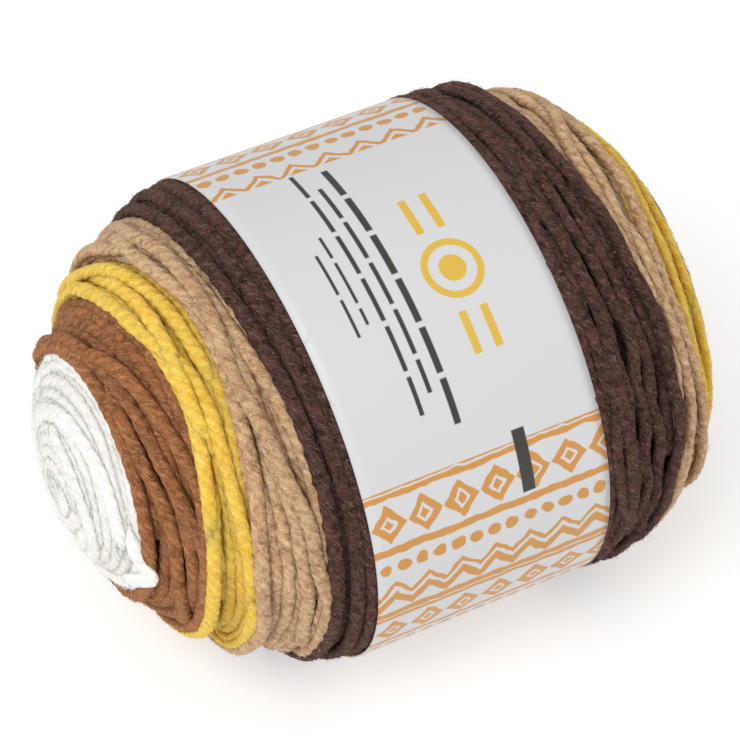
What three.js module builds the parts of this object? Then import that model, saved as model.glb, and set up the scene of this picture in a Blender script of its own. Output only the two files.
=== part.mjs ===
// A yarn cake lying on its side: one wound body of yarn, with the bundles of turns that
// stand out on its two domes, and a paper band round its middle.
// Millimetres, +Z up. X runs along the cake's axis, and its pale near end is at -X.

import * as THREE from 'three';

// Driving dimensions of the whole cake
const bandRadius = 43.5;      // outside of the paper band
const bandStart = -19.9;      // the band's two edges, measured along the axis
const bandEnd = 23.1;
const paperThickness = 1;
const fitGap = 0.3;           // clearance between the band and the yarn
const edgeRise = 0.8;         // beside the band the yarn rises to its full height over this
const axisHeight = 43.1;      // axis over the table, a little under the radius: the flat spot
const sides = 72;             // columns of points round the axis
const skewY = -0.016;         // the band sits askew: its shift along the axis for each
const skewZ = -0.033;         // millimetre sideways and up; the yarn beside it follows

// Bundles of turns
const bundleWidth = 6.6;
const bundlePitch = 5.3;      // about this much from one bundle to the next, along the dome
const bundleSway = 5.2;       // how far a bundle wanders towards the tip and back in one turn
const firstBundle = 5.5;      // distance of the first bundle from the dome's tip
const lastBundle = 1.8;       // distance of the last bundle from the band's edge
const grooveDepth = 1.25;
const phaseStep = THREE.MathUtils.degToRad(137.5);
const liftStep = 0.12;        // every third bundle lies lower by this share, the next by twice it
const tipHeight = 0.65;       // how high the tip itself stands, on the scale of the bundles
const tipReach = 5;           // the bundles fade into the tip over this distance
const rowPitch = 1.85;        // rows of points along a dome

// The two domes. start: where the dome begins on the axis; reach: from there to its tip;
// shoulder and crown: the exponents of its outline; swell: how far the yarn stands out
// beside the band; leanY and leanZ: how far the tip lies off the axis.
const domes = {
  near: { towards: -1, start: -17.7, edge: bandStart, reach: 40.1, shoulder: 1.52, crown: 1.97,
    swell: 0.1, leanY: 1.4, leanZ: 0.6, firstPhase: 0.5 },
  far: { towards: 1, start: 23.9, edge: bandEnd, reach: 32.1, shoulder: 2.38, crown: 2.74,
    swell: 0.4, leanY: -1.0, leanZ: -0.8, firstPhase: 2.1 },
};

const waistRadius = bandRadius - paperThickness - fitGap;
const yarnLook = { color: 0x8a5a3c, roughness: 0.95, metalness: 0 };
const paperLook = { color: 0xdcdcdf, roughness: 0.55, metalness: 0 };

// Radius of a dome's outline at a distance along the axis from its start
function domeRadius(dome, along) {
  const share = THREE.MathUtils.clamp(along / dome.reach, 0, 1);
  return (bandRadius + dome.swell) * (1 - share ** dome.shoulder) ** (1 / dome.crown);
}

// The dome's outline from its tip to the band's edge, in rows of even pitch. Each row has its
// place on the axis, its radius and its distance from the tip along the outline.
function domeRows(dome) {
  const steps = 600;
  const edgeAlong = dome.towards * (dome.edge - dome.start) + fitGap + edgeRise;
  const lastAlong = Math.max(0, edgeAlong);
  const fine = [];
  let travelled = 0;
  for (let step = 0; step <= steps; step += 1) {
    const angle = (step / steps) * (Math.PI / 2);
    const along = lastAlong + (dome.reach - lastAlong) * Math.cos(angle);
    const point = { along, radius: domeRadius(dome, along) };
    const before = fine.at(-1);
    if (before) {
      travelled += Math.hypot(point.along - before.along, point.radius - before.radius);
    }
    fine.push({ ...point, fromTip: travelled });
  }
  const rowCount = Math.round(travelled / rowPitch);
  const rows = [];
  for (let row = 0; row <= rowCount; row += 1) {
    const wanted = (travelled * row) / rowCount;
    rows.push(fine.find((point) => point.fromTip >= wanted) ?? fine.at(-1));
  }
  return rows;
}

// How high the bundles stand at one place on a dome: 1 on a crest and 0 in a groove. Bundles
// half way up the dome wander most, and the last one runs straight along the band's edge.
function bundleHeight(dome, fromTip, turn, length) {
  const span = length - firstBundle - lastBundle;
  const bundles = Math.round(span / bundlePitch);
  let height = 0;
  for (let index = 0; index <= bundles; index += 1) {
    const middle = firstBundle + (span * index) / bundles;
    const sway = bundleSway * Math.sqrt(Math.sin((Math.PI * middle) / length));
    const centre = middle + sway * Math.cos(turn - dome.firstPhase - index * phaseStep);
    const across = (fromTip - centre) / (bundleWidth / 2);
    if (Math.abs(across) < 1) {
      const lift = 1 - liftStep * (index % 3);
      height = Math.max(height, lift * Math.sqrt(1 - across * across));
    }
  }
  const fade = THREE.MathUtils.smoothstep(fromTip, 0, tipReach);
  return THREE.MathUtils.lerp(tipHeight, height, fade);
}

// Lays the points of the wound body out as a lathe of rows and columns, raises the bundles
// in them, and flattens the spot that the cake lies on.
function woundYarn() {
  const near = domeRows(domes.near).map((row) => ({ ...row, dome: domes.near }));
  const far = domeRows(domes.far).map((row) => ({ ...row, dome: domes.far })).reverse();
  const waist = [bandStart - fitGap, bandEnd + fitGap].map((x) => ({ x, radius: waistRadius }));
  const rows = [...near, ...waist, ...far];
  for (const row of rows) {
    if (row.dome) {
      row.x = row.dome.start + row.dome.towards * row.along;
      row.length = row.dome === domes.near ? near.at(-1).fromTip : far[0].fromTip;
    }
  }
  const profile = rows.map((row) => new THREE.Vector2(row.radius, row.x));
  const lathe = new THREE.LatheGeometry(profile, sides);
  const place = lathe.getAttribute('position');
  const normal = lathe.getAttribute('normal');
  const points = [];
  for (let column = 0; column < sides; column += 1) {
    const turn = (column / sides) * 2 * Math.PI;
    for (let index = 0; index < rows.length; index += 1) {
      points.push(bodyPoint(rows[index], turn, place, normal, column * rows.length + index));
    }
  }
  return meshOfGrid(points, rows.length);
}

// One point of the body. The lathe turns round its own Y, which becomes the cake's X.
function bodyPoint(row, turn, place, normal, index) {
  const point = new THREE.Vector3(place.getY(index), place.getZ(index), place.getX(index));
  const share = row.dome ? THREE.MathUtils.clamp(row.along / row.dome.reach, 0, 1) : 0;
  point.x += (1 - share) * (skewY * point.y + skewZ * point.z);
  let floor = waistRadius - bandRadius + axisHeight;
  if (row.dome) {
    const out = new THREE.Vector3(normal.getY(index), normal.getZ(index), normal.getX(index));
    const height = bundleHeight(row.dome, row.fromTip, turn, row.length);
    point.addScaledVector(out.normalize(), -grooveDepth * (1 - height));
    point.y += row.dome.leanY * share;
    point.z += row.dome.leanZ * share;
    floor = axisHeight;
  }
  point.z = Math.max(point.z, -floor);
  return point;
}

// Joins a closed grid of points, columns round the axis and rows from tip to tip, with each
// square cut along its shorter diagonal. The first and last rows are single points.
function meshOfGrid(points, rowCount) {
  const corners = [];
  const at = (column, row) => {
    const oneTip = row === 0 || row === rowCount - 1;
    return oneTip ? row : (column % sides) * rowCount + row;
  };
  for (let column = 0; column < sides; column += 1) {
    for (let row = 0; row < rowCount - 1; row += 1) {
      const a = at(column, row);
      const b = at(column + 1, row);
      const c = at(column + 1, row + 1);
      const d = at(column, row + 1);
      const cutFromA = points[a].distanceTo(points[c]) < points[b].distanceTo(points[d]);
      const faces = cutFromA ? [[a, b, c], [a, c, d]] : [[a, b, d], [b, c, d]];
      corners.push(...faces.filter((face) => new Set(face).size === 3).flat());
    }
  }
  const geometry = new THREE.BufferGeometry().setFromPoints(points);
  geometry.setIndex(corners);
  geometry.computeVertexNormals();
  return geometry;
}

// A circle's points with its lowest stretch cut flat, as a closed outline
function flattenedCircle(radius, lowest) {
  return Array.from({ length: sides }, (_, column) => {
    const turn = (column / sides) * 2 * Math.PI;
    return new THREE.Vector2(radius * Math.cos(turn), Math.max(radius * Math.sin(turn), lowest));
  });
}

// The band is a closed sleeve of paper, extruded along the axis
function paperBand() {
  const outline = new THREE.Shape(flattenedCircle(bandRadius, -axisHeight));
  const inside = flattenedCircle(bandRadius - paperThickness, paperThickness - axisHeight);
  outline.holes.push(new THREE.Path(inside));
  const geometry = new THREE.ExtrudeGeometry(outline, {
    depth: bandEnd - bandStart,
    bevelEnabled: false,
  });
  const alongX = new THREE.Matrix4().makeBasis(
    new THREE.Vector3(skewY, 1, 0), new THREE.Vector3(skewZ, 0, 1), new THREE.Vector3(1, 0, 0));
  return geometry.applyMatrix4(alongX).translate(bandStart, 0, 0);
}

function named(name, geometry, look) {
  const mesh = new THREE.Mesh(geometry, new THREE.MeshStandardMaterial(look));
  mesh.name = name;
  return mesh;
}

const group = new THREE.Group();
group.add(named('wound_yarn', woundYarn(), yarnLook));
group.add(named('paper_band', paperBand(), paperLook));

// The origin is under the middle of the cake, on the table
const box = new THREE.Box3().setFromObject(group);
const middle = box.getCenter(new THREE.Vector3());
group.position.set(-middle.x, -middle.y, -box.min.z);

export default group;
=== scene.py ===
"""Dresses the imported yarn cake: its turns of yarn, their fluff, and the paper band."""

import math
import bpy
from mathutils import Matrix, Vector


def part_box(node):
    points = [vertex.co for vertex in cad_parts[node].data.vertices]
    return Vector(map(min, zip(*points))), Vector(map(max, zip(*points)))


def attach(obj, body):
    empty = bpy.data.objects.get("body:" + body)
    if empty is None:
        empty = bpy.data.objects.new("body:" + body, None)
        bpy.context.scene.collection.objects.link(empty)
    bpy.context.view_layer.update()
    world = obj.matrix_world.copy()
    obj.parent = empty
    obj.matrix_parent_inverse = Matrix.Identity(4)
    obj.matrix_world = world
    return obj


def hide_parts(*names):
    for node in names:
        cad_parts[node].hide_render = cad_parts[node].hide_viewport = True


bl_info = {
    "name": "Yarn cake",
    "version": (1, 0, 0),
    "blender": (4, 5, 0),
    "location": "View3D > Sidebar > Yarn cake",
    "description": "Lays the turns of yarn and the paper band over the packed yarn cake",
    "category": "Object",
}

from dataclasses import dataclass
from functools import partial

import bmesh
import bpy
import numpy as np
from mathutils import Vector

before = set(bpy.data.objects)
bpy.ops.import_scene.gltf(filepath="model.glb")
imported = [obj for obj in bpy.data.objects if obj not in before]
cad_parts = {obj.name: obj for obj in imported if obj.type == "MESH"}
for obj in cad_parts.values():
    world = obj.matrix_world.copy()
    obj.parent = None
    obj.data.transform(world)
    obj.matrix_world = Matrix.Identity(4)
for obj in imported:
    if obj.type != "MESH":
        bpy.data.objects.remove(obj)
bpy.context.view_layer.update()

MM = 0.001
BODY = "root"

# The cake's form, in millimetres from its axis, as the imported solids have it
BAND_RADIUS = 43.5
BAND_START = -19.9
BAND_END = 23.1
BAND_MIDDLE = (BAND_START + BAND_END) / 2
AXIS_HEIGHT = 43.1
SKEW_Y = -0.016
SKEW_Z = -0.033
BAND_LOW, BAND_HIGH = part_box("paper_band")
AXIS_PLACE = (
    (BAND_LOW.x + BAND_HIGH.x) / 2 / MM - BAND_MIDDLE,
    (BAND_LOW.y + BAND_HIGH.y) / 2 / MM,
    BAND_LOW.z / MM + AXIS_HEIGHT,
)

# The strand of yarn, in millimetres, with the turns that its plies make in each, and how far
# the plies stand out, as a share. The strands of the pale tips are wider and flatter.
HALF_WIDTH = 1.16
HALF_HEIGHT = 0.95
TIP_WIDER = 1.4
TIP_FLATTER = 0.7
SIDES = 12
STEP_ALONG = 0.62
STEP_ALONG_COARSE = 0.95
PLIES = 4
TWIST = 0.098
LOBE = 0.07

# The winding, in millimetres: the step along a path, the cells of the map of heights, and
# the pitch of the low turns. A turn on top sinks into a lone crest by GIVE and is pressed
# in by PRESS, and its two ends dive between the others.
PATH_STEP = 0.5
CELL = 0.35
CHART_MARGIN = 7
INNER_PITCH = 1.95
GIVE = 1.1
PRESS = 0.45
DIVE = 2.6
DIVE_LENGTH = 12

# What stays in sight of the wound turns: one that is covered stays where what covers it is
# this many millimetres clear of it, because it is glimpsed from the side. A run keeps some
# spare steps at its ends, which dip out of sight, and a run of too few steps is left out.
CLEAR_FROM = 2.3
CLEAR_TO = 4.6
SPARE_STEPS = 8
SHORTEST_RUN = 12
RUN_DIP = 0.7
RUN_DIP_LENGTH = 3.5

# Levels of the strands beside the band and under its edge, how far past the edge they start
# to come down to them, and over what length, in millimetres
LEVEL_BESIDE, BESIDE_FROM, BESIDE_LENGTH = -0.3, -4.5, 3.5
LEVEL_UNDER, UNDER_FROM, UNDER_LENGTH = -0.5, -0.8, 1.1

COLOURS = ("white", "caramel", "mustard", "tan", "dark_brown")

# How far the turns of each colour sway, stand out and lie apart, against the others, and
# how many fibres stand out of a millimetre of them on each end
SWAY = (1, 1.6, 1, 1.4, 1)
RELIEF = (0.25, 0.75, 1, 1.4, 1)
STRAY_RELIEF = 1.2
PITCH = (1, 1, 1, 1.16, 1)
FLUFF = {"near": (8.0, 4.8, 4.8, 4.8, 4.8), "far": (5.0, 3.5, 3.5, 4.6, 4.6)}

# The fibres, in millimetres: a few are long, and the length and the rise of the long ones
# and of the short ones lie between two limits
FIBRE_RADIUS = 0.034
LONG_SHARE = 0.01
FIBRE_LENGTHS = ((2.2, 4.5), (0.4, 1.3))
FIBRE_RISES = ((0.05, 0.3), (0.1, 0.5))

# The paper band, in millimetres: its clearance, and how its glued end rises over its start,
# which lies at LAP_TURN degrees round the axis
BAND_CLEARANCE = 0.05
LAP_CLEARANCE = 0.06
LAP_TURN = -62
LAP_RISE_BEFORE = 4
LAP_RISE_LENGTH = 3.5

# The band's print, in millimetres. Its rows repeat along the band, but for a bare field.
PRINT_REPEAT = 27.0
FIELD_MIDDLE = 138.0
FIELD_REACH = 29.5
WORD_REPEAT = 8.7
STROKE_ROWS = (
    {"across": 19.0, "half_height": 0.6, "middle": 140.0, "reach": 25.5, "gap": 0.13},
    {"across": 16.2, "half_height": 0.4, "middle": 141.5, "reach": 20.5, "gap": 0.61},
    {"across": 13.7, "half_height": 0.4, "middle": 142.5, "reach": 24.5, "gap": 0.37},
    {"across": 11.0, "half_height": 0.28, "middle": 143.0, "reach": 8.5, "gap": 0.85},
    {"across": 8.8, "half_height": 0.28, "middle": 141.0, "reach": 8.0, "gap": 0.12},
)
BAR = {"across": 28.4, "half_height": 1.15, "middle": 104.5, "reach": 5.9}
MARK = {"across": 28.2, "middle": 138.5}

# The camera as it was fitted to the photograph: its distance in metres, and its directions
# in degrees
CAMERA_LENS = 173.36
CAMERA_SHIFT = (0.01145, 0.01336)
CAMERA_DISTANCE = 0.6074
CAMERA_RISE = 46.90
CAMERA_HEADING = 27.20

# The lamps: name, place and size in metres, and power in watts
LAMPS = (("key", (-0.6, -0.35, 0.9), 0.6, 7), ("fill", (0.9, -0.4, 0.6), 0.8, 0.6))
LAMP_TARGET = (0, 0, 0.04)


@dataclass
class Dome:
    """One end of the cake: the outline from its tip to a little way under the band."""

    towards: int        # 1 or -1, the way that the tip points along the axis
    start: float        # where the outline starts on the axis, and where the band's edge is
    edge: float
    reach: float        # from the start to the tip
    shoulder: float     # the exponents of the outline
    crown: float
    swell: float        # how far the yarn stands out beside the band
    lean: tuple         # how far the tip lies off the axis, sideways and up
    pitch: float        # from one turn on top to the next
    sway: float         # how far those turns wander, in which direction, and how loosely
    sway_turn: float
    sway_spread: float
    relief: float       # how far the turns stand out of one another
    sink: float
    fullness: float     # the width of the strands, against the yarn's own
    seed: int
    rings: list
    stray: dict = None  # where the last turn of the tip's colour strays over the next one

    def __post_init__(self):
        turn = np.linspace(0, math.pi / 2, 3000)
        along = self.reach * np.cos(turn)
        share = np.clip(along / self.reach, 0, 1) ** self.shoulder
        radius = (BAND_RADIUS + self.swell) * (1 - share) ** (1 / self.crown)
        under = np.linspace(0.05, 12, 240)
        self.along = np.concatenate([along, -under])
        self.radius = np.concatenate([radius, np.full(len(under), radius[-1])])
        steps = np.hypot(np.diff(self.along), np.diff(self.radius))
        self.travel = np.concatenate([[0], np.cumsum(steps)])
        self.normal_along = np.gradient(self.radius, self.travel)
        self.normal_out = -np.gradient(self.along, self.travel)
        self.edge_travel = self.travel_at(self.edge)
        self.rings = [dict(ring, travel=self.travel_at(ring["x"])) for ring in self.rings]
        lines = [0.0] + [ring["travel"] for ring in self.rings] + [self.edge_travel]
        self.zones = list(zip(lines, lines[1:]))

    def travel_at(self, x):
        """Distance from the tip along the outline to a place on the axis."""
        return float(np.interp(-self.towards * (x - self.start), -self.along, self.travel))

    def radius_at(self, travel):
        """The outline's radius at a distance from the tip, which is never quite nothing."""
        return max(float(np.interp(travel, self.travel, self.radius)), 1.5)

    def ring_shift(self, travel, turn):
        """How far the rings of colour bulge towards the band, at points of the dome."""
        shifts = [np.zeros_like(turn)]
        for ring in self.rings:
            off = (turn - math.radians(ring["turn"]) + math.pi) % (2 * math.pi) - math.pi
            bump = np.exp(-0.5 * (off / math.radians(ring["width"])) ** 2)
            slope = abs(self.travel_at(ring["x"] + 0.5) - self.travel_at(ring["x"] - 0.5))
            shifts.append(ring["bulge"] * slope * bump)
        shifts.append(np.zeros_like(turn))
        shift = np.zeros_like(turn)
        for index, (low, high) in enumerate(self.zones):
            part = (travel - low) / (high - low)
            mixed = shifts[index] * (1 - part) + shifts[index + 1] * part
            shift = np.where((travel >= low) & (travel < high), mixed, shift)
        return shift

    def ring_line(self, index, turn):
        """Where a ring runs, as distances from the tip."""
        knot = np.full_like(turn, self.rings[index]["travel"])
        return knot + self.ring_shift(knot, turn)

    def outline(self, travel, lift):
        """Distance along the axis and from it, at a height over the dome's outline."""
        along = np.interp(travel, self.travel, self.along)
        radius = np.interp(travel, self.travel, self.radius)
        along = along + lift * np.interp(travel, self.travel, self.normal_along)
        return along, radius + lift * np.interp(travel, self.travel, self.normal_out)

    def skewed(self, x, y, z, share):
        """Points of the straight dome, shifted as the band is askew and as the tip leans."""
        return (x + (1 - share) * (SKEW_Y * y + SKEW_Z * z), y + self.lean[0] * share,
                z + self.lean[1] * share)

    def place(self, travel, turn, lift):
        """Points in the row frame, in millimetres, at a height over the dome's outline."""
        along, radius = self.outline(travel, lift)
        share = np.clip(along / self.reach, 0, 1)
        x = self.start + self.towards * along
        points = self.skewed(x, radius * np.cos(turn), radius * np.sin(turn), share)
        return np.stack(points, axis=-1) + AXIS_PLACE


# Each ring is where one colour gives way to the next: its place on the axis, and how far
# it bulges towards the band, in which direction round the axis, in degrees.
DOMES = {
    "near": Dome(
        towards=-1, start=-17.7, edge=BAND_START, reach=40.1, shoulder=1.52, crown=1.97,
        swell=0.1, lean=(1.4, 0.6), pitch=2.28, sway=5.5, sway_turn=230, sway_spread=55,
        relief=1.45, sink=0.6, fullness=1.12, seed=7,
        stray={"turn": 187, "width": 9, "reach": 3.4},
        rings=[
            {"x": -51.3, "bulge": 1.4, "turn": 105, "width": 45},
            {"x": -44.2, "bulge": 3.2, "turn": 114, "width": 32},
            {"x": -37.9, "bulge": 4.2, "turn": 104, "width": 26},
            {"x": -29.2, "bulge": 3.0, "turn": 143, "width": 38},
        ]),
    "far": Dome(
        towards=1, start=23.9, edge=BAND_END, reach=32.1, shoulder=2.38, crown=2.74,
        swell=0.4, lean=(-1.0, -0.8), pitch=2.38, sway=3.2, sway_turn=250, sway_spread=80,
        relief=1.75, sink=0.85, fullness=1.0, seed=11,
        rings=[
            {"x": 53.9, "bulge": 0.0, "turn": 100, "width": 30},
            {"x": 51.0, "bulge": 0.0, "turn": 150, "width": 30},
            {"x": 47.0, "bulge": 3.2, "turn": 129, "width": 25},
            {"x": 34.0, "bulge": -6.3, "turn": 158, "width": 42},
        ]),
}


# The runs of strand in sight on each end, once they are wound
RUNS = {}


def smooth_field(field, sigma):
    """A height field blurred by a Gaussian of that many cells."""
    rows = np.fft.fftfreq(field.shape[0])[:, None]
    columns = np.fft.rfftfreq(field.shape[1])[None, :]
    blur = np.exp(-2 * (math.pi * sigma) ** 2 * (rows ** 2 + columns ** 2))
    return np.fft.irfft2(np.fft.rfft2(field) * blur, s=field.shape)


def smooth_path(values, sigma):
    """Values along a strand, blurred by a Gaussian of that many steps."""
    reach = int(math.ceil(3 * sigma))
    weights = np.exp(-0.5 * (np.arange(-reach, reach + 1) / sigma) ** 2)
    padded = np.pad(values, reach, mode="edge")
    return np.convolve(padded, weights / weights.sum(), mode="valid")


def smooth_step(values):
    """0 below 0, 1 above 1, and eased between."""
    share = np.clip(values, 0, 1)
    return share * share * (3 - 2 * share)


def from_ends(count):
    """How far each step of a path lies from the nearer of its ends."""
    steps = np.arange(count)
    return np.minimum(steps, steps[::-1]) * PATH_STEP


def unit(vectors):
    """Vectors brought to a length of 1."""
    return vectors / np.linalg.norm(vectors, axis=1)[:, None]


class Chart:
    """A flat map of a dome: the tip in its middle, distance from the tip kept true."""

    def __init__(self, dome):
        self.dome = dome
        self.half = dome.edge_travel + CHART_MARGIN
        self.size = int(2 * self.half / CELL)
        across = np.linspace(-1, 1, 13)
        self.offsets = across * HALF_WIDTH
        self.section = HALF_HEIGHT * np.sqrt(np.clip(1 - across ** 2, 0, 1))

    def cells(self, path, offsets):
        """Cells under a strand, for each step along it and each place across it."""
        travel, turn, side_u, side_v = path
        u = travel * np.cos(turn)
        v = travel * np.sin(turn)
        columns = (u[:, None] + offsets * side_u[:, None] + self.half) / CELL
        rows = (v[:, None] + offsets * side_v[:, None] + self.half) / CELL
        last = self.size - 1
        return np.clip(columns.astype(int), 0, last), np.clip(rows.astype(int), 0, last)

    def path(self, travel, turn):
        """A strand's path with the direction across it on the map, stretched as the map is."""
        radius = np.maximum(np.interp(travel, self.dome.travel, self.dome.radius), 0.5)
        down = np.gradient(travel)
        round_ = radius * np.gradient(turn)
        length = np.hypot(down, round_)
        across_down, across_round = -round_ / length, down / length
        stretch = travel / radius
        cosine, sine = np.cos(turn), np.sin(turn)
        return (travel, turn, across_down * cosine - across_round * stretch * sine,
                across_down * sine + across_round * stretch * cosine)


def slow_waves(run, lengths, height, rng):
    """A few waves of random length along a strand."""
    total = np.zeros_like(run)
    for _ in range(3):
        wave = rng.uniform(*lengths)
        total += rng.normal(0, height) * np.sin(run / wave * 2 * math.pi + rng.uniform(0, 6.28))
    return total


def kept_inside(dome, zone, travel, turn):
    """Keeps a turn between the ring where its colour starts and just past the next one."""
    if zone < len(dome.rings):
        most = dome.ring_line(zone, turn) + 0.3
    else:
        most = dome.edge_travel - 0.3 * HALF_WIDTH
    travel = most - np.logaddexp(0, (most - travel) * 2) / 2
    least = 1.2
    if zone > 0:
        least = dome.ring_line(zone - 1, turn) + 0.85 * HALF_WIDTH
    travel = least + np.logaddexp(0, (travel - least) * 2) / 2
    return np.maximum(travel, 1.0)


def inner_path(dome, zone, inner, outer, rng):
    """The turns of one colour that lie lowest, side by side, as one long spiral."""
    travels, turns = [], []
    begin = rng.uniform(0, 2 * math.pi)
    travel, turn = inner, begin
    while travel < outer:
        travels.append(travel)
        turns.append(turn)
        radius = dome.radius_at(travel)
        turn += PATH_STEP / radius
        if turn - begin > 2 * math.pi:
            travel += INNER_PITCH * PATH_STEP / (2 * math.pi * radius)
    travel, turn = np.array(travels), np.array(turns)
    travel = travel + slow_waves(np.arange(len(travel)) * PATH_STEP, (14, 60), 0.16, rng)
    travel = travel + dome.ring_shift(travel, turn)
    return kept_inside(dome, zone, travel, turn), turn


def outer_path(dome, zone, middle, first, rng):
    """One turn of those on top: it comes up between its neighbours, runs most of the way
    round the dome, and goes down between them again. The first turn of a colour and those
    beside the band go all the way round, and hardly sway."""
    radius = dome.radius_at(middle)
    whole = 2 * math.pi + 20 / radius
    span = whole if first else math.radians(rng.uniform(200, 330))
    begin = rng.uniform(0, 2 * math.pi)
    sway = dome.sway * rng.uniform(0.5, 1.2) * min(1, middle / 16)
    sway *= 0.15 if first else SWAY[zone]
    if middle > dome.edge_travel - 3.5:
        span, sway = whole, 0.25 * sway
    turn = begin + np.arange(0, span, PATH_STEP / radius)
    run = radius * (turn - begin)
    lean_turn = math.radians(dome.sway_turn) + rng.normal(0, math.radians(dome.sway_spread))
    travel = middle + sway * np.cos(turn - lean_turn) + slow_waves(run, (16, 50), 0.2, rng)
    travel = travel + dome.ring_shift(travel, turn)
    return kept_inside(dome, zone, travel, turn), turn


def stray_path(dome):
    """The last turn of the tip's colour, which strays over the next colour at one place."""
    step = PATH_STEP / dome.radius_at(dome.rings[0]["travel"])
    middle, width = math.radians(dome.stray["turn"]), math.radians(dome.stray["width"])
    turn = np.arange(middle - 4 * width, middle + 4 * width, step)
    travel = dome.ring_line(0, turn) - 1.6
    return travel + dome.stray["reach"] * np.exp(-((turn - middle) / width) ** 2), turn


def settle(chart, heights, travel, turn):
    """Lets a turn slide down the sides of those it lies on."""
    side = HALF_WIDTH * np.array([0.5, 0.8, 1.1])
    for _ in range(5):
        path = chart.path(travel, turn)
        above = heights[chart.cells(path, side)].mean(1)
        below = heights[chart.cells(path, -side)].mean(1)
        move = np.clip(-0.5 * smooth_path(above - below, 16), -0.4, 0.4)
        travel = np.clip(travel - move, 1.0, None)
    return smooth_path(travel, 6)


def wind(dome, rng):
    """Winds the turns in order, each riding over those that it crosses, and gives the runs
    of each that stay in sight."""
    chart = Chart(dome)
    heights = np.zeros((chart.size, chart.size))
    last_over = np.full((chart.size, chart.size), -1, np.int32)
    turns = []

    def press_in(path, centre, zone):
        count = len(centre)
        fine = np.linspace(0, count - 1, 2 * count)
        *dense, middles = (
            np.interp(fine, np.arange(count), values) for values in (*path, centre))
        cells = chart.cells(dense, chart.offsets)
        tops = middles[:, None] + chart.section
        order = np.argsort(tops, axis=None, kind="stable")
        columns, rows, tops = (values.reshape(-1)[order] for values in (*cells, tops))
        over = tops > heights[columns, rows]
        heights[columns[over], rows[over]] = tops[over]
        last_over[columns[over], rows[over]] = len(turns)
        turns.append({"path": path, "centre": centre, "zone": zone, "tone": rng.normal(0, 1)})

    def ride_over(travel, turn, zone):
        path = chart.path(travel, turn)
        touch = (heights[chart.cells(path, chart.offsets)] + chart.section).max(1)
        eased = np.maximum(smooth_path(touch, 8), touch - GIVE)
        centre = smooth_path(eased, 4) - PRESS
        centre = centre - DIVE * (1 - smooth_step(from_ends(len(turn)) / DIVE_LENGTH))
        press_in(path, centre, zone)

    for zone, (inner, outer) in enumerate(dome.zones):
        travel, turn = inner_path(dome, zone, inner + 0.9 * HALF_WIDTH, outer + 0.8, rng)
        steps = np.arange(len(travel)) * PATH_STEP
        centre = HALF_HEIGHT + slow_waves(steps, (9, 30), 0.1, rng)
        press_in(chart.path(travel, turn), centre, zone)
    for zone, (inner, outer) in enumerate(dome.zones):
        middle = inner + 0.9 * HALF_WIDTH
        first = zone > 0
        while middle < outer + 0.3:
            travel, turn = outer_path(dome, zone, middle, first, rng)
            if not first:
                travel = kept_inside(dome, zone, settle(chart, heights, travel, turn), turn)
            ride_over(travel, turn, zone)
            middle += dome.pitch * rng.uniform(0.7, 1.3) * PITCH[zone]
            first = False
    if dome.stray:
        ride_over(*stray_path(dome), 0)
        turns[-1]["relief"] = STRAY_RELIEF
    return runs_in_sight(dome, chart, heights, last_over, turns)


def runs_in_sight(dome, chart, heights, last_over, turns):
    """Cuts the wound turns into the runs that stay in sight, each at the height over the
    outline at which it shows."""
    mean = smooth_field(heights, 4.5 / CELL)
    runs = []
    for index, whole in enumerate(turns):
        travel, turn = whole["path"][:2]
        cells = chart.cells(whole["path"], np.array([-0.8, 0.0, 0.8]))
        seen = (last_over[cells] == index).any(1) & (travel < dome.edge_travel + 2)
        relief = whole["centre"] + HALF_HEIGHT - mean[cells][:, 1]
        soft = dome.relief * whole.get("relief", RELIEF[whole["zone"]])
        sunk = np.clip(relief + 1.2, -1.0, 0)
        lift = soft * np.tanh((relief - sunk) / soft) + sunk - dome.sink
        above = heights[cells].max(1) - whole["centre"] - HALF_HEIGHT
        glimpsed = (above > CLEAR_FROM) & (above < CLEAR_TO)
        glimpsed &= (travel < dome.edge_travel + 1) & (whole["zone"] > 2)
        kept = seen | glimpsed
        spread = np.convolve(kept, np.ones(2 * SPARE_STEPS + 1))
        spread = spread[SPARE_STEPS:SPARE_STEPS + len(seen)] > 0
        edges = np.flatnonzero(np.diff(np.concatenate([[0], spread.astype(int), [0]])))
        for start, after in zip(edges[::2], edges[1::2]):
            if kept[start:after].sum() >= 3 and after - start > SHORTEST_RUN:
                part = slice(start, after)
                dip = RUN_DIP * (1 - smooth_step(from_ends(after - start) / RUN_DIP_LENGTH))
                runs.append({"travel": travel[part], "turn": turn[part], "seen": seen[part],
                             "lift": lift[part] - dip, "zone": whole["zone"],
                             "tone": whole["tone"]})
    return runs


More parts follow.
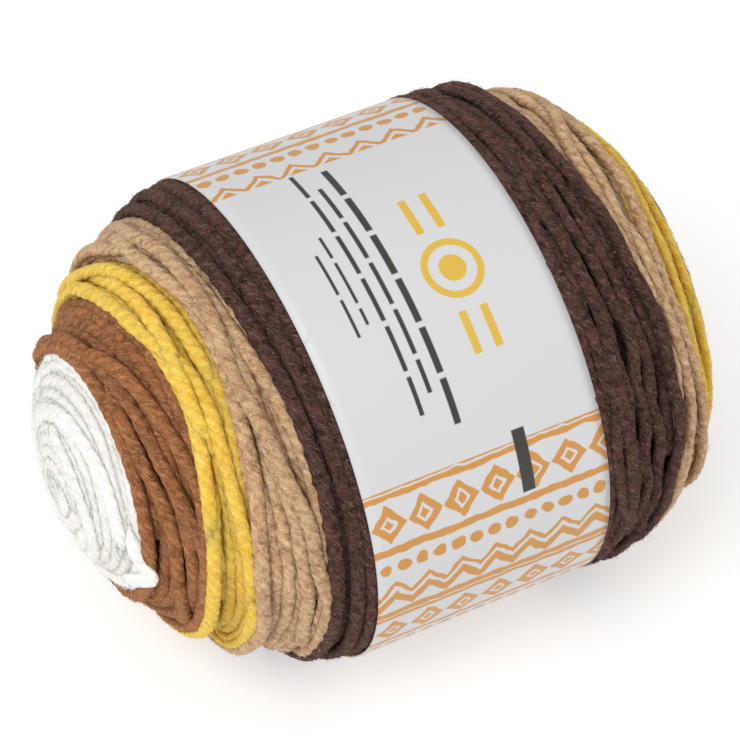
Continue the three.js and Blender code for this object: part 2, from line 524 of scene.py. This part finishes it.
def strand_rings(dome, run, step, rng):
    """The rings of points round a strand, its plies standing out, with the distance along."""
    centres = frames_along(dome, run)[0]
    gaps = np.linalg.norm(np.diff(centres, axis=0), axis=1)
    lengths = np.concatenate([[0], np.cumsum(gaps)])
    wanted = np.linspace(0, lengths[-1], max(4, int(lengths[-1] / step)))
    even = {key: np.interp(wanted, lengths, run[key]) for key in ("travel", "turn", "lift")}
    centres, _, sideways, outward = frames_along(dome, even)
    share = np.arange(SIDES) / SIDES
    around = share * 2 * math.pi - math.pi / 2
    along = wanted + 37.0 * (abs(run["tone"]) % 1)
    lobes = 1 - LOBE * np.cos(2 * math.pi * PLIES * (share[None, :] - TWIST * along[:, None]))
    thin = smooth_step(np.minimum(wanted, wanted[::-1]) / 1.5 + 0.35)
    thin = thin * (1 + slow_waves(wanted, (4, 16), 0.035, rng))
    at_tip = run["zone"] == 0
    half_width = HALF_WIDTH * (TIP_WIDER if at_tip else dome.fullness)
    half_height = HALF_HEIGHT * (TIP_FLATTER if at_tip else 1)
    section = (half_width * np.cos(around)[None, :, None] * sideways[:, None, :]
               + half_height * np.sin(around)[None, :, None] * outward[:, None, :])
    points = centres[:, None, :] + (thin[:, None] * lobes)[..., None] * section
    points[..., 2] = np.maximum(points[..., 2], 0.02)
    return points, along


def frames_along(dome, run):
    """Centres of a strand, with its forward, sideways and outward directions."""
    travel, turn, lift = run["travel"], run["turn"], run["lift"]
    past_edge = travel - dome.edge_travel
    under = smooth_step((past_edge - UNDER_FROM) / UNDER_LENGTH)
    beside = smooth_step((past_edge - BESIDE_FROM) / BESIDE_LENGTH)
    beneath = np.minimum(lift, LEVEL_UNDER - dome.swell)
    lift = lift * (1 - beside) + np.minimum(lift, LEVEL_BESIDE) * beside
    lift = lift * (1 - under) + beneath * under - HALF_HEIGHT
    centres = dome.place(travel, turn, lift)
    outward = unit(dome.place(travel, turn, lift + 0.2) - centres)
    forward = unit(np.gradient(centres, axis=0))
    sideways = unit(np.cross(forward, outward))
    return centres, forward, sideways, np.cross(sideways, forward)


def fluff_mesh(name, dome, runs, per_mm, material, rng):
    """Fine fibres that arch out of the strands, as one mesh of closed three-sided spindles."""
    roots, middles, tips = [], [], []
    for run in runs:
        centres, forward, sideways, outward = frames_along(dome, run)
        seen = np.flatnonzero(run["seen"])
        count = rng.poisson(len(seen) * PATH_STEP * per_mm)
        if not len(seen) or not count:
            continue
        at = rng.choice(seen, count)
        around = rng.normal(math.pi / 2, 0.8, count)[:, None]
        out = np.cos(around) * sideways[at] + np.sin(around) * outward[at]
        root = (centres[at] + HALF_WIDTH * 0.9 * np.cos(around) * sideways[at]
                + HALF_HEIGHT * 0.9 * np.sin(around) * outward[at])
        across = np.cross(forward[at], out)
        heading = rng.uniform(0, 2 * math.pi, count)[:, None]
        flat = np.cos(heading) * forward[at] + np.sin(heading) * across
        astray = rng.random(count)[:, None] < LONG_SHARE
        length, rise = (
            np.where(astray, rng.uniform(*long, (count, 1)), rng.uniform(*short, (count, 1)))
            for long, short in (FIBRE_LENGTHS, FIBRE_RISES))
        roots.append(root)
        middles.append(root + length * (0.5 * flat + 0.6 * rise * out))
        tips.append(root + length * (flat + rng.normal(0, 0.25, (count, 3))
                                     + rise * rng.uniform(-0.8, 0.9, (count, 1)) * out))
    root, middle, tip = (np.concatenate(values) for values in (roots, middles, tips))
    count = len(root)
    aim = unit(tip - root)
    first = unit(np.cross(aim, rng.normal(0, 1, (count, 3))))
    second = np.cross(aim, first)
    corners = [middle + FIBRE_RADIUS * (math.cos(turn) * first + math.sin(turn) * second)
               for turn in (0, 2 * math.pi / 3, 4 * math.pi / 3)]
    points = np.stack([root, *corners, tip], axis=1)
    points[..., 2] = np.maximum(points[..., 2], 0.05)
    pattern = []
    for corner in range(3):
        after = (corner + 1) % 3
        pattern += [1 + after, 1 + corner, 0, 1 + corner, 1 + after, 4]
    faces = np.arange(count)[:, None] * 5 + np.array(pattern)
    return array_mesh(name, points.reshape(-1, 3) * MM, faces.reshape(-1),
                      np.full(6 * count, 3), np.zeros(2 * faces.size),
                      np.zeros(5 * count), material)


def strands_mesh(name, dome, runs, step, material, rng):
    """All the runs of one colour on one end, as one mesh of closed tubes."""
    points, faces, uvs, tones, sizes = [], [], [], [], []
    first = 0
    columns = np.arange(SIDES)
    after = (columns + 1) % SIDES
    for run in runs:
        rings, along = strand_rings(dome, run, step, rng)
        count = len(along)
        start = first + np.arange(count - 1)[:, None] * SIDES
        quads = np.stack([start + columns, start + after,
                          start + after + SIDES, start + columns + SIDES], axis=-1)
        faces.append(quads.reshape(-1))
        sizes.append(np.full((count - 1) * SIDES, 4))
        along = along * MM
        u = np.broadcast_to(columns / SIDES, (count - 1, SIDES))
        u_after = u + 1 / SIDES
        v = np.broadcast_to(along[:-1, None], u.shape)
        v_after = np.broadcast_to(along[1:, None], u.shape)
        uvs.append(np.stack([u, v, u_after, v, u_after, v_after, u, v_after], axis=-1).reshape(-1))
        faces.append(first + columns[::-1])
        faces.append(first + (count - 1) * SIDES + columns)
        sizes.append(np.full(2, SIDES))
        for ring, order in ((0, columns[::-1]), (-1, columns)):
            ends = np.stack([order / SIDES, np.full(SIDES, along[ring])], axis=-1)
            uvs.append(ends.reshape(-1))
        points.append(rings.reshape(-1, 3) * MM)
        tones.append(np.full(count * SIDES, run["tone"]))
        first += count * SIDES
    parts = (np.concatenate(values) for values in (points, faces, sizes, uvs, tones))
    return array_mesh(name, *parts, material)


def array_mesh(name, points, corners, sizes, uvs, tones, material):
    """A smooth shaded object from arrays of points, face corners, UVs and tones."""
    mesh = bpy.data.meshes.new(name)
    starts = np.concatenate([[0], np.cumsum(sizes)[:-1]])
    for parts, field, values, kind in ((mesh.vertices, "co", points, np.float32),
                                       (mesh.loops, "vertex_index", corners, np.int32),
                                       (mesh.polygons, "loop_start", starts, np.int32)):
        parts.add(len(values))
        parts.foreach_set(field, values.astype(kind).reshape(-1))
    mesh.polygons.foreach_set("loop_total", sizes.astype(np.int32))
    layer = mesh.uv_layers.new(name="UVMap")
    layer.data.foreach_set("uv", uvs.astype(np.float32))
    tone = mesh.attributes.new("tone", "FLOAT", "POINT")
    tone.data.foreach_set("value", tones.astype(np.float32))
    mesh.update(calc_edges=True)
    mesh.validate()
    smooth_shade(mesh)
    mesh.materials.append(material)
    return add_object(name, mesh)


def add_object(name, data):
    """Adds an object to the scene."""
    made = bpy.data.objects.new(name, data)
    bpy.context.scene.collection.objects.link(made)
    return made


def add_bmesh(name, bm, *materials):
    """Adds an object made from a bmesh, and frees the bmesh."""
    mesh = bpy.data.meshes.new(name)
    bm.to_mesh(mesh)
    bm.free()
    for material in materials:
        mesh.materials.append(material)
    return add_object(name, mesh)


def smooth_shade(mesh):
    """Smooth shading all over a mesh."""
    mesh.polygons.foreach_set("use_smooth", np.ones(len(mesh.polygons), bool))


# Nodes

def feed(node, inputs):
    """Links each of these inputs of a node to a socket, or sets it to a value."""
    for key, value in inputs.items():
        if isinstance(value, bpy.types.NodeSocket):
            node.id_data.links.new(value, node.inputs[key])
        else:
            node.inputs[key].default_value = value


def add_node(tree, kind, inputs=None, **settings):
    """Adds a node with its settings, and feeds its inputs."""
    made = tree.nodes.new(kind)
    for name, value in settings.items():
        setattr(made, name, value)
    feed(made, inputs or {})
    return made


def calculate(tree, operation, *values):
    """Adds a Math node and gives its output."""
    return add_node(tree, "ShaderNodeMath", dict(enumerate(values)),
                    operation=operation).outputs[0]


def sums_of(tree):
    """Ways to add Math nodes to one tree: any operation, a product and a difference."""
    maths = partial(calculate, tree)
    return maths, partial(maths, "MULTIPLY"), partial(maths, "SUBTRACT")


def mix_colours(tree, share, first, second):
    """Adds a Mix node for colours and gives its output."""
    return add_node(tree, "ShaderNodeMix", {0: share, 6: first, 7: second},
                    data_type="RGBA").outputs[2]


def remap(tree, value, low, high, to_low=0.0, to_high=1.0):
    """Adds a Map Range node, eased at both ends, and gives its output."""
    return add_node(tree, "ShaderNodeMapRange", {
        "Value": value, "From Min": low, "From Max": high, "To Min": to_low,
        "To Max": to_high}, interpolation_type="SMOOTHSTEP").outputs["Result"]


def add_noise(tree, place, scale, detail, roughness=0.5, output="Fac"):
    """Adds a Noise Texture node and gives its output."""
    return add_node(tree, "ShaderNodeTexNoise", {
        "Vector": place, "Scale": scale, "Detail": detail,
        "Roughness": roughness}).outputs[output]


def add_bump(tree, strength, distance, height):
    """Adds a Bump node and gives its normal."""
    return add_node(tree, "ShaderNodeBump", {
        "Strength": strength, "Distance": distance, "Height": height}).outputs["Normal"]


def new_group(name, vectors, floats, results):
    """A shader node group with named sockets: its tree, what it is given, and the node that
    takes its results."""
    tree = bpy.data.node_groups.new(name, "ShaderNodeTree")
    for labels, side, kind in ((vectors, "INPUT", "NodeSocketVector"),
                               (floats, "INPUT", "NodeSocketFloat"),
                               (results, "OUTPUT", "NodeSocketFloat")):
        for label in labels:
            tree.interface.new_socket(name=label, in_out=side, socket_type=kind)
    return tree, tree.nodes.new("NodeGroupInput").outputs, tree.nodes.new("NodeGroupOutput")


def new_material(name):
    """A new material, with its node tree and its shader."""
    material = bpy.data.materials.new(name)
    material.use_nodes = True
    return material, material.node_tree, material.node_tree.nodes["Principled BSDF"]


def yarn_twist_group():
    """Plies twisted round each other, with the fibres that run along them."""
    name = "Yarn twist"
    if name in bpy.data.node_groups:
        return bpy.data.node_groups[name]
    tree, given, results = new_group(
        name, ("Strand UV", "Place"), ("Plies", "Turns per metre"),
        ("Height", "Crease", "Fibre", "Felt"))
    maths, times, minus = sums_of(tree)
    parts = add_node(tree, "ShaderNodeSeparateXYZ", {0: given["Strand UV"]})
    around, along = parts.outputs[0], parts.outputs[1]
    waver = minus(add_noise(tree, given["Place"], 700.0, 2.0), 0.5)
    turned = minus(around, times(along, given["Turns per metre"]))
    turned = maths("ADD", turned, times(waver, 0.22))
    ply = maths("FRACT", times(turned, given["Plies"]))
    off = maths("ABSOLUTE", minus(times(ply, 2.0), 1.0))
    crease = remap(tree, off, 0.15, 1.0)
    lobe = minus(1.0, crease)
    fibre_place = add_node(tree, "ShaderNodeCombineXYZ", {
        0: times(turned, 26.0), 1: times(along, 700.0)})
    fibre = add_noise(tree, fibre_place.outputs[0], 1.0, 3.0, 0.7)
    felt = add_noise(tree, given["Place"], 3200.0, 2.0, 0.6)
    height = maths("ADD", times(lobe, 0.75), maths(
        "ADD", times(fibre, 0.9), times(felt, 0.9)))
    feed(results, {"Height": height, "Crease": crease, "Fibre": fibre, "Felt": felt})
    return tree


def linear(red, green, blue):
    """A screen colour from 0 to 255 as the linear colour that a shader takes."""
    def channel(value):
        value /= 255
        return value / 12.92 if value <= 0.04045 else ((value + 0.055) / 1.055) ** 2.4
    return (channel(red), channel(green), channel(blue), 1.0)


# For each colour of yarn: its body, a darker colour (painted shade at its strands' sides and
# in the creases between its plies, and also its darker mottles and felt), its light fibres, the
# colour that it drifts to here and there, how mottled it is, and how far light goes in (m).
# Colours are as a screen shows them, from 0 to 255.
YARN_COLOURS = {
    "white": ((254, 250, 241), (249, 244, 231), (255, 254, 251), (250, 246, 236), 0.1, 0.0012),
    "caramel": ((151, 99, 61), (84, 46, 24), (204, 156, 116), (166, 106, 68), 0.55, 0.001),
    "mustard": ((239, 200, 86), (196, 142, 34), (253, 230, 146), (234, 191, 70), 0.3, 0.0014),
    "tan": ((211, 175, 134), (128, 86, 52), (242, 216, 184), (198, 156, 117), 0.5, 0.0014),
    "dark_brown": ((78, 54, 46), (22, 13, 10), (142, 114, 104), (94, 60, 56), 0.7, 0.0008),
}


def yarn_material(colour):
    """Soft plied yarn of one colour, its pattern following each strand's UV."""
    name = "yarn " + colour.replace("_", " ")
    if name in bpy.data.materials:
        return bpy.data.materials[name]
    *colours, mottle, depth = YARN_COLOURS[colour]
    body, shade_and_mottle, light, drift = (linear(*rgb) for rgb in colours)
    material, tree, shader = new_material(name)
    maths, times, minus = sums_of(tree)
    strand = add_node(tree, "ShaderNodeUVMap", uv_map="UVMap").outputs["UV"]
    place = add_node(tree, "ShaderNodeTexCoord").outputs["Object"]
    twist = add_node(tree, "ShaderNodeGroup", node_tree=yarn_twist_group())
    feed(twist, {"Strand UV": strand, "Place": place, "Plies": PLIES,
                 "Turns per metre": TWIST / MM})
    blotch = add_noise(tree, place, 620.0, 3.0, 0.6)
    patch = add_noise(tree, place, 260.0, 2.0, 0.6)
    tone = add_node(tree, "ShaderNodeAttribute", attribute_name="tone").outputs["Fac"]
    # Painted shade: the yarn darkens towards each strand's sides, where it lies in the grooves
    # between strands, and the blotches break up where the darkening starts.
    around = add_node(tree, "ShaderNodeSeparateXYZ", {0: strand}).outputs[0]
    side = times(maths("ABSOLUTE", minus(around, 0.5)), 2.0)
    side = maths("ADD", side, times(minus(blotch, 0.5), 0.5))
    dyed = body
    for share, other in (
            (remap(tree, patch, 0.42, 0.62), drift),
            # painted shade towards the strand's sides, in the grooves between strands
            (remap(tree, side, 0.15, 0.65, 0.0, 0.72), shade_and_mottle),
            # painted shade in the creases between the plies
            (times(twist.outputs["Crease"], 0.24), shade_and_mottle),
            (remap(tree, blotch, 0.46, 0.66, 0.0, mottle), shade_and_mottle),
            (remap(tree, twist.outputs["Felt"], 0.52, 0.7, 0.0, 0.45), shade_and_mottle),
            (remap(tree, twist.outputs["Fibre"], 0.48, 0.72, 0.0, 0.8), light)):
        dyed = mix_colours(tree, share, dyed, other)
    bright = maths("ADD", 1.0, times(tone, 0.05))
    toned = add_node(tree, "ShaderNodeHueSaturation", {"Value": bright, "Color": dyed})
    feed(shader, {
        "Base Color": toned.outputs["Color"],
        "Normal": add_bump(tree, 1.0, 0.0003, twist.outputs["Height"]),
        "Subsurface Weight": 0.7 if colour == "white" else 0.5,
        "Subsurface Radius": (1.0, 1.0, 1.0),
        "Subsurface Scale": depth,
        "Roughness": 0.95,
        "Specular IOR Level": 0.1,
        "Sheen Weight": 0.15,
        "Sheen Roughness": 0.5,
        "Sheen Tint": light})
    return material


def fluff_material(colour):
    """Loose fibres of one colour, lighter than the strands that they stand out of."""
    body, _, light = (linear(*rgb) for rgb in YARN_COLOURS[colour][:3])
    material, tree, shader = new_material("fluff " + colour.replace("_", " "))
    place = add_node(tree, "ShaderNodeTexCoord").outputs["Object"]
    patch = add_noise(tree, place, 900.0, 1.0)
    feed(shader, {
        "Base Color": mix_colours(tree, remap(tree, patch, 0.4, 0.6), body, light),
        "Roughness": 0.9,
        "Specular IOR Level": 0.2})
    return material


def band_print_group():
    """The band's printed pattern: rows of zigzags, dots and lozenges between rules at both
    ends, and plain strokes and a round mark on the bare field between them."""
    name = "Band print"
    if name in bpy.data.node_groups:
        return bpy.data.node_groups[name]
    tree, given, results = new_group(
        name, ("Band UV",), ("Width", "Length"), ("Pattern", "Strokes", "Mark"))
    maths, times, minus = sums_of(tree)

    def near_to(value, middle, reach, blur=0.12):
        """1 where a value lies within reach of a middle."""
        off = maths("ABSOLUTE", minus(value, middle))
        return remap(tree, off, reach + blur, reach - blur)

    def wrapped(value, repeat):
        """A value as a share of its repeat, from 0 to 1."""
        return maths("FRACT", maths("DIVIDE", value, repeat))

    def stroke(row):
        """1 on one straight stroke along the band."""
        return times(near_to(flat_x, row["across"], row["half_height"]),
                     near_to(flat_y, row["middle"], row["reach"]))

    parts = add_node(tree, "ShaderNodeSeparateXYZ", {0: given["Band UV"]})
    flat_x = times(parts.outputs[0], given["Width"])
    flat_y = times(parts.outputs[1], given["Length"])
    flat = add_node(tree, "ShaderNodeCombineXYZ", {0: flat_x, 1: flat_y}).outputs[0]
    wobble = add_noise(tree, flat, 0.35, 1.0, output="Color")
    shift = add_node(tree, "ShaderNodeSeparateXYZ", {0: wobble}).outputs
    x, y = (maths("ADD", value, times(minus(shift[index], 0.5), 1.2))
            for index, value in enumerate((flat_x, flat_y)))

    row = times(wrapped(y, PRINT_REPEAT), PRINT_REPEAT)
    folded = minus(row, maths("PINGPONG", x, 3.1))
    dot_x = minus(wrapped(x, 3.3), 0.5)
    dot_y = maths("DIVIDE", minus(row, 12.6), 3.3)
    dot = maths("ADD", times(dot_x, dot_x), times(dot_y, dot_y))
    lozenge_x = maths("ABSOLUTE", minus(wrapped(x, 6.6), 0.5))
    lozenge_y = maths("ABSOLUTE", maths("DIVIDE", minus(row, 21.3), 7.6))
    lozenge = maths("ADD", lozenge_x, lozenge_y)
    pattern = near_to(folded, 2.9, 1.05)
    for more in (near_to(folded, 5.6, 0.6), near_to(row, 0.9, 0.75), near_to(row, 16.2, 0.75),
                 near_to(row, 26.3, 0.5), remap(tree, dot, 0.16, 0.11),
                 near_to(lozenge, 0.36, 0.12, 0.02), near_to(lozenge, 0.0, 0.14, 0.02)):
        pattern = maths("MAXIMUM", pattern, more)
    field = near_to(flat_y, FIELD_MIDDLE, FIELD_REACH, 0.1)
    pattern = times(pattern, minus(1.0, field))

    strokes = stroke(BAR)
    words = wrapped(flat_y, WORD_REPEAT)
    for line in STROKE_ROWS:
        off_gap = maths("ABSOLUTE", minus(words, line["gap"]))
        solid = minus(1.0, near_to(off_gap, 0.0, 0.055, 0.02))
        strokes = maths("MAXIMUM", strokes, times(stroke(line), solid))

    mark_x = minus(flat_x, MARK["across"])
    mark_y = minus(flat_y, MARK["middle"])
    out = maths("SQRT", maths("ADD", times(mark_x, mark_x),
                              times(mark_y, mark_y)))
    mark = maths("MAXIMUM", near_to(out, 4.6, 0.6), near_to(out, 0.0, 2.3))
    beside = near_to(maths("ABSOLUTE", mark_y), 10.8, 3.6)
    for place in (-1.9, 1.9):
        mark = maths("MAXIMUM", mark, times(near_to(mark_x, place, 0.7), beside))
    feed(results, {"Pattern": pattern, "Strokes": strokes, "Mark": mark})
    return tree


def paper_material(settings, width, length):
    """Smooth coated paper with its print."""
    material, tree, shader = new_material("band paper")
    ink = add_node(tree, "ShaderNodeGroup", node_tree=band_print_group())
    feed(ink, {"Band UV": add_node(tree, "ShaderNodeUVMap", uv_map="UVMap").outputs["UV"],
               "Width": width, "Length": length})
    colour = settings.paper_colour[:]
    for layer, print_colour in (("Pattern", settings.pattern_colour),
                                ("Mark", settings.mark_colour),
                                ("Strokes", settings.stroke_colour)):
        colour = mix_colours(tree, ink.outputs[layer], colour, print_colour[:])
    place = add_node(tree, "ShaderNodeTexCoord").outputs["Object"]
    feed(shader, {
        "Base Color": colour,
        "Normal": add_bump(tree, 0.5, 0.0006, add_noise(tree, place, 45.0, 1.0)),
        "Roughness": 0.42,
        "Specular IOR Level": 0.35})
    return material


# Pieces

def on_cake(x, y, z, lowest):
    """A point's place in the scene, kept over a lowest level."""
    return Vector((x + AXIS_PLACE[0], y + AXIS_PLACE[1], max(z, lowest) + AXIS_PLACE[2])) * MM


def finish_piece(piece, node):
    """Puts a piece on the cake's body, and hides the solid that it stands for."""
    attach(piece, BODY)
    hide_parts(node)


def length_setting(name, description, millimetres):
    """A length that the panel shows."""
    return bpy.props.FloatProperty(name=name, description=description,
                                   default=millimetres * MM, unit="LENGTH")


def colour_setting(name, description, *rgb):
    """A colour that the panel shows."""
    return bpy.props.FloatVectorProperty(name=name, description=description,
                                         subtype="COLOR", size=4, default=linear(*rgb))


class YarnCakeSettings(bpy.types.PropertyGroup):
    """Sizes and colours of the cake's dressing."""

    core_depth: length_setting("Core depth", "How far the inner yarn lies below the outline", 3.5)
    paper_thickness: length_setting("Paper thickness", "Thickness of the paper band", 0.3)
    lap_length: length_setting("Lap", "How far the band's glued end lies over its start", 14)
    paper_colour: colour_setting("Paper", "Colour of the band's paper", 202, 202, 203)
    pattern_colour: colour_setting("Pattern", "Colour of the printed rows", 196, 139, 69)
    mark_colour: colour_setting("Mark", "Colour of the round mark", 209, 172, 68)
    stroke_colour: colour_setting("Strokes", "Colour of the dark strokes", 54, 56, 51)


class YARNCAKE_OT_camera(bpy.types.Operator):
    """Places the camera at the photograph's viewing angle"""

    bl_idname = "yarncake.camera"
    bl_label = "Camera"

    def execute(self, context):
        camera = bpy.data.cameras.new("camera")
        camera.lens = CAMERA_LENS
        camera.sensor_width = 36
        camera.shift_x, camera.shift_y = CAMERA_SHIFT
        camera.clip_start = 0.05
        holder = add_object("camera", camera)
        context.scene.camera = holder
        rise = math.radians(CAMERA_RISE)
        heading = math.radians(CAMERA_HEADING)
        view = Vector((math.sin(heading) * math.cos(rise), math.cos(heading) * math.cos(rise),
                       -math.sin(rise)))
        holder.location = Vector(AXIS_PLACE) * MM - view * CAMERA_DISTANCE
        holder.rotation_euler = view.to_track_quat("-Z", "Y").to_euler()
        return {"FINISHED"}


class YARNCAKE_OT_core(bpy.types.Operator):
    """Makes the inner yarn, which shows only between the turns"""

    bl_idname = "yarncake.core"
    bl_label = "Inner yarn"

    def execute(self, context):
        depth = context.scene.yarn_cake.core_depth / MM
        bm = bmesh.new()
        corners = []
        travelled = {}
        for name, order in (("near", 1), ("far", -1)):
            dome = DOMES[name]
            travels = np.linspace(0, dome.edge_travel, 26)
            along, radius = dome.outline(travels, -depth)
            places = dome.start + dome.towards * along
            travelled[name] = (places[::order], travels[::order])
            corners += [bm.verts.new((x, 0, max(out, 0)))
                        for x, out in list(zip(places, radius))[::order]]
        edges = [bm.edges.new(pair) for pair in zip(corners, corners[1:])]
        bmesh.ops.spin(bm, geom=corners + edges, cent=(0, 0, 0), axis=(1, 0, 0),
                       angle=2 * math.pi, steps=64, use_merge=True)
        bmesh.ops.remove_doubles(bm, verts=bm.verts, dist=0.01)
        bmesh.ops.recalc_face_normals(bm, faces=bm.faces)
        self.colour_faces(bm, travelled)
        for vert in bm.verts:
            x, y, z = vert.co
            dome = DOMES["near" if x < BAND_MIDDLE else "far"]
            share = min(max((x - dome.start) * dome.towards / dome.reach, 0), 1)
            vert.co = on_cake(*dome.skewed(x, y, z, share), 0.6 - AXIS_HEIGHT)
        layer = bm.loops.layers.uv.new("UVMap")
        for face in bm.faces:
            for loop in face.loops:
                at = loop.vert.co
                turn = math.atan2(at.z - AXIS_PLACE[2] * MM, at.y - AXIS_PLACE[1] * MM)
                loop[layer].uv = (at.x / MM / 2.6, turn * 40 * MM)
        piece = add_bmesh("inner_yarn", bm, *(yarn_material(colour) for colour in COLOURS))
        smooth_shade(piece.data)
        finish_piece(piece, "wound_yarn")
        return {"FINISHED"}

    def colour_faces(self, bm, travelled):
        """Gives each face of the straight form the colour of the turns over it."""
        middles = np.array([face.calc_center_median() for face in bm.faces])
        turns = np.arctan2(middles[:, 2], middles[:, 1])
        colours = np.zeros(len(middles), int)
        for name, dome in DOMES.items():
            mine = (middles[:, 0] < BAND_MIDDLE) == (name == "near")
            travels = np.interp(middles[:, 0], *travelled[name])
            for index in range(len(dome.rings)):
                colours += mine & (travels > dome.ring_line(index, turns) - 1)
        for face, colour in zip(bm.faces, colours):
            face.material_index = int(colour)


END_CHOICE = {
    "name": "End",
    "description": "Which end of the cake",
    "items": [("near", "Near", "The end with the pale tip in view"),
              ("far", "Far", "The end behind the band")],
}


class YARNCAKE_OT_turns(bpy.types.Operator):
    """Lays the turns of yarn over one end of the cake"""

    bl_idname = "yarncake.turns"
    bl_label = "Turns of yarn"

    end: bpy.props.EnumProperty(**END_CHOICE)

    def execute(self, context):
        dome = DOMES[self.end]
        rng = np.random.default_rng(dome.seed)
        runs = RUNS[self.end] = wind(dome, rng)
        for zone, colour in enumerate(COLOURS):
            mine = [run for run in runs if run["zone"] == zone]
            if not mine:
                raise RuntimeError(f"no {colour} turns on the {self.end} end")
            coarse = zone == 0 or (self.end == "far" and zone < 3)
            step = STEP_ALONG_COARSE if coarse else STEP_ALONG
            piece = strands_mesh(f"{self.end}_turns_{colour}", dome, mine, step,
                                 yarn_material(colour), rng)
            finish_piece(piece, "wound_yarn")
        return {"FINISHED"}


class YARNCAKE_OT_fluff(bpy.types.Operator):
    """Adds the fine fibres that stand out of the turns on one end"""

    bl_idname = "yarncake.fluff"
    bl_label = "Fluff"

    end: bpy.props.EnumProperty(**END_CHOICE)

    def execute(self, context):
        if self.end not in RUNS:
            raise RuntimeError("the turns come before their fluff")
        dome = DOMES[self.end]
        rng = np.random.default_rng(dome.seed + 100)
        for zone, colour in enumerate(COLOURS):
            mine = [run for run in RUNS[self.end] if run["zone"] == zone]
            piece = fluff_mesh(f"{self.end}_fluff_{colour}", dome, mine,
                               FLUFF[self.end][zone], fluff_material(colour), rng)
            finish_piece(piece, "wound_yarn")
        return {"FINISHED"}


class YARNCAKE_OT_band(bpy.types.Operator):
    """Bends the paper band round the cake and laps its end over its start"""

    bl_idname = "yarncake.band"
    bl_label = "Paper band"

    def execute(self, context):
        settings = context.scene.yarn_cake
        width = BAND_END - BAND_START
        thickness = settings.paper_thickness / MM
        radius = BAND_RADIUS - thickness - BAND_CLEARANCE
        lap = settings.lap_length / MM
        length = 2 * math.pi * radius + lap
        bm = bmesh.new()
        bm.loops.layers.uv.new("UVMap")
        bmesh.ops.create_grid(bm, x_segments=24, y_segments=300, size=0.5, calc_uvs=True)
        bmesh.ops.scale(bm, vec=(width, length, 1), verts=bm.verts)
        bmesh.ops.solidify(bm, geom=list(bm.faces), thickness=thickness)
        low = min(vert.co.z for vert in bm.verts)
        for vert in bm.verts:
            across = vert.co.x + width / 2 + BAND_START
            run = vert.co.y + length / 2
            turn = math.radians(LAP_TURN) - run / radius
            out = radius + vert.co.z - low
            lowest = BAND_RADIUS - BAND_CLEARANCE - out - AXIS_HEIGHT
            past_round = run - 2 * math.pi * radius
            lapped = float(smooth_step((past_round + LAP_RISE_BEFORE) / LAP_RISE_LENGTH))
            out += (thickness + LAP_CLEARANCE) * lapped
            y = out * math.cos(turn)
            z = out * math.sin(turn)
            vert.co = on_cake(across + SKEW_Y * y + SKEW_Z * z, y, z, lowest)
        bmesh.ops.recalc_face_normals(bm, faces=bm.faces)
        piece = add_bmesh("band", bm, paper_material(settings, width, length))
        smooth_shade(piece.data)
        finish_piece(piece, "paper_band")
        return {"FINISHED"}


class YARNCAKE_OT_stage(bpy.types.Operator):
    """Sets out the floor and the soft studio light"""

    bl_idname = "yarncake.stage"
    bl_label = "Floor and light"

    def execute(self, context):
        material, _, shader = new_material("floor")
        feed(shader, {"Base Color": (0.62, 0.62, 0.62, 1), "Roughness": 0.8,
                      "Emission Color": (1, 1, 1, 1), "Emission Strength": 0.43})
        bm = bmesh.new()
        bmesh.ops.create_grid(bm, x_segments=1, y_segments=1, size=3)
        floor = add_bmesh("floor", bm, material)
        context.scene.view_settings.view_transform = "Standard"
        world = bpy.data.worlds.new("studio")
        context.scene.world = world
        world.use_nodes = True
        feed(world.node_tree.nodes["Background"], {"Color": (1, 1, 1, 1), "Strength": 0.72})
        for name, place, size, power in LAMPS:
            light = bpy.data.lights.new(name, "AREA")
            light.size = size
            light.energy = power
            lamp = add_object(name, light)
            lamp.location = place
            aim = Vector(LAMP_TARGET) - Vector(place)
            lamp.rotation_euler = aim.to_track_quat("-Z", "Y").to_euler()
        return {"FINISHED"}


class YARNCAKE_PT_panel(bpy.types.Panel):
    """Lists the yarn cake's pieces"""

    bl_idname = "YARNCAKE_PT_panel"
    bl_label = "Yarn cake"
    bl_space_type = "VIEW_3D"
    bl_region_type = "UI"
    bl_category = "Yarn cake"

    def draw(self, context):
        layout = self.layout
        settings = context.scene.yarn_cake
        for name in YarnCakeSettings.__annotations__:
            layout.prop(settings, name)
        layout.operator("yarncake.camera")
        layout.operator("yarncake.core")
        for end in DOMES:
            layout.operator("yarncake.turns", text=f"Turns, {end} end").end = end
            layout.operator("yarncake.fluff", text=f"Fluff, {end} end").end = end
        layout.operator("yarncake.band")
        layout.operator("yarncake.stage")


CLASSES = (YarnCakeSettings, YARNCAKE_OT_camera, YARNCAKE_OT_core, YARNCAKE_OT_turns,
           YARNCAKE_OT_fluff, YARNCAKE_OT_band, YARNCAKE_OT_stage, YARNCAKE_PT_panel)


def register():
    for cls in CLASSES:
        bpy.utils.register_class(cls)
    bpy.types.Scene.yarn_cake = bpy.props.PointerProperty(type=YarnCakeSettings)


def unregister():
    del bpy.types.Scene.yarn_cake
    for cls in reversed(CLASSES):
        bpy.utils.unregister_class(cls)


def main():
    register()
    bpy.ops.yarncake.camera()
    bpy.ops.yarncake.core()
    for end in DOMES:
        bpy.ops.yarncake.turns(end=end)
        bpy.ops.yarncake.fluff(end=end)
    bpy.ops.yarncake.band()
    bpy.ops.yarncake.stage()


if __name__ == "__main__":
    main()
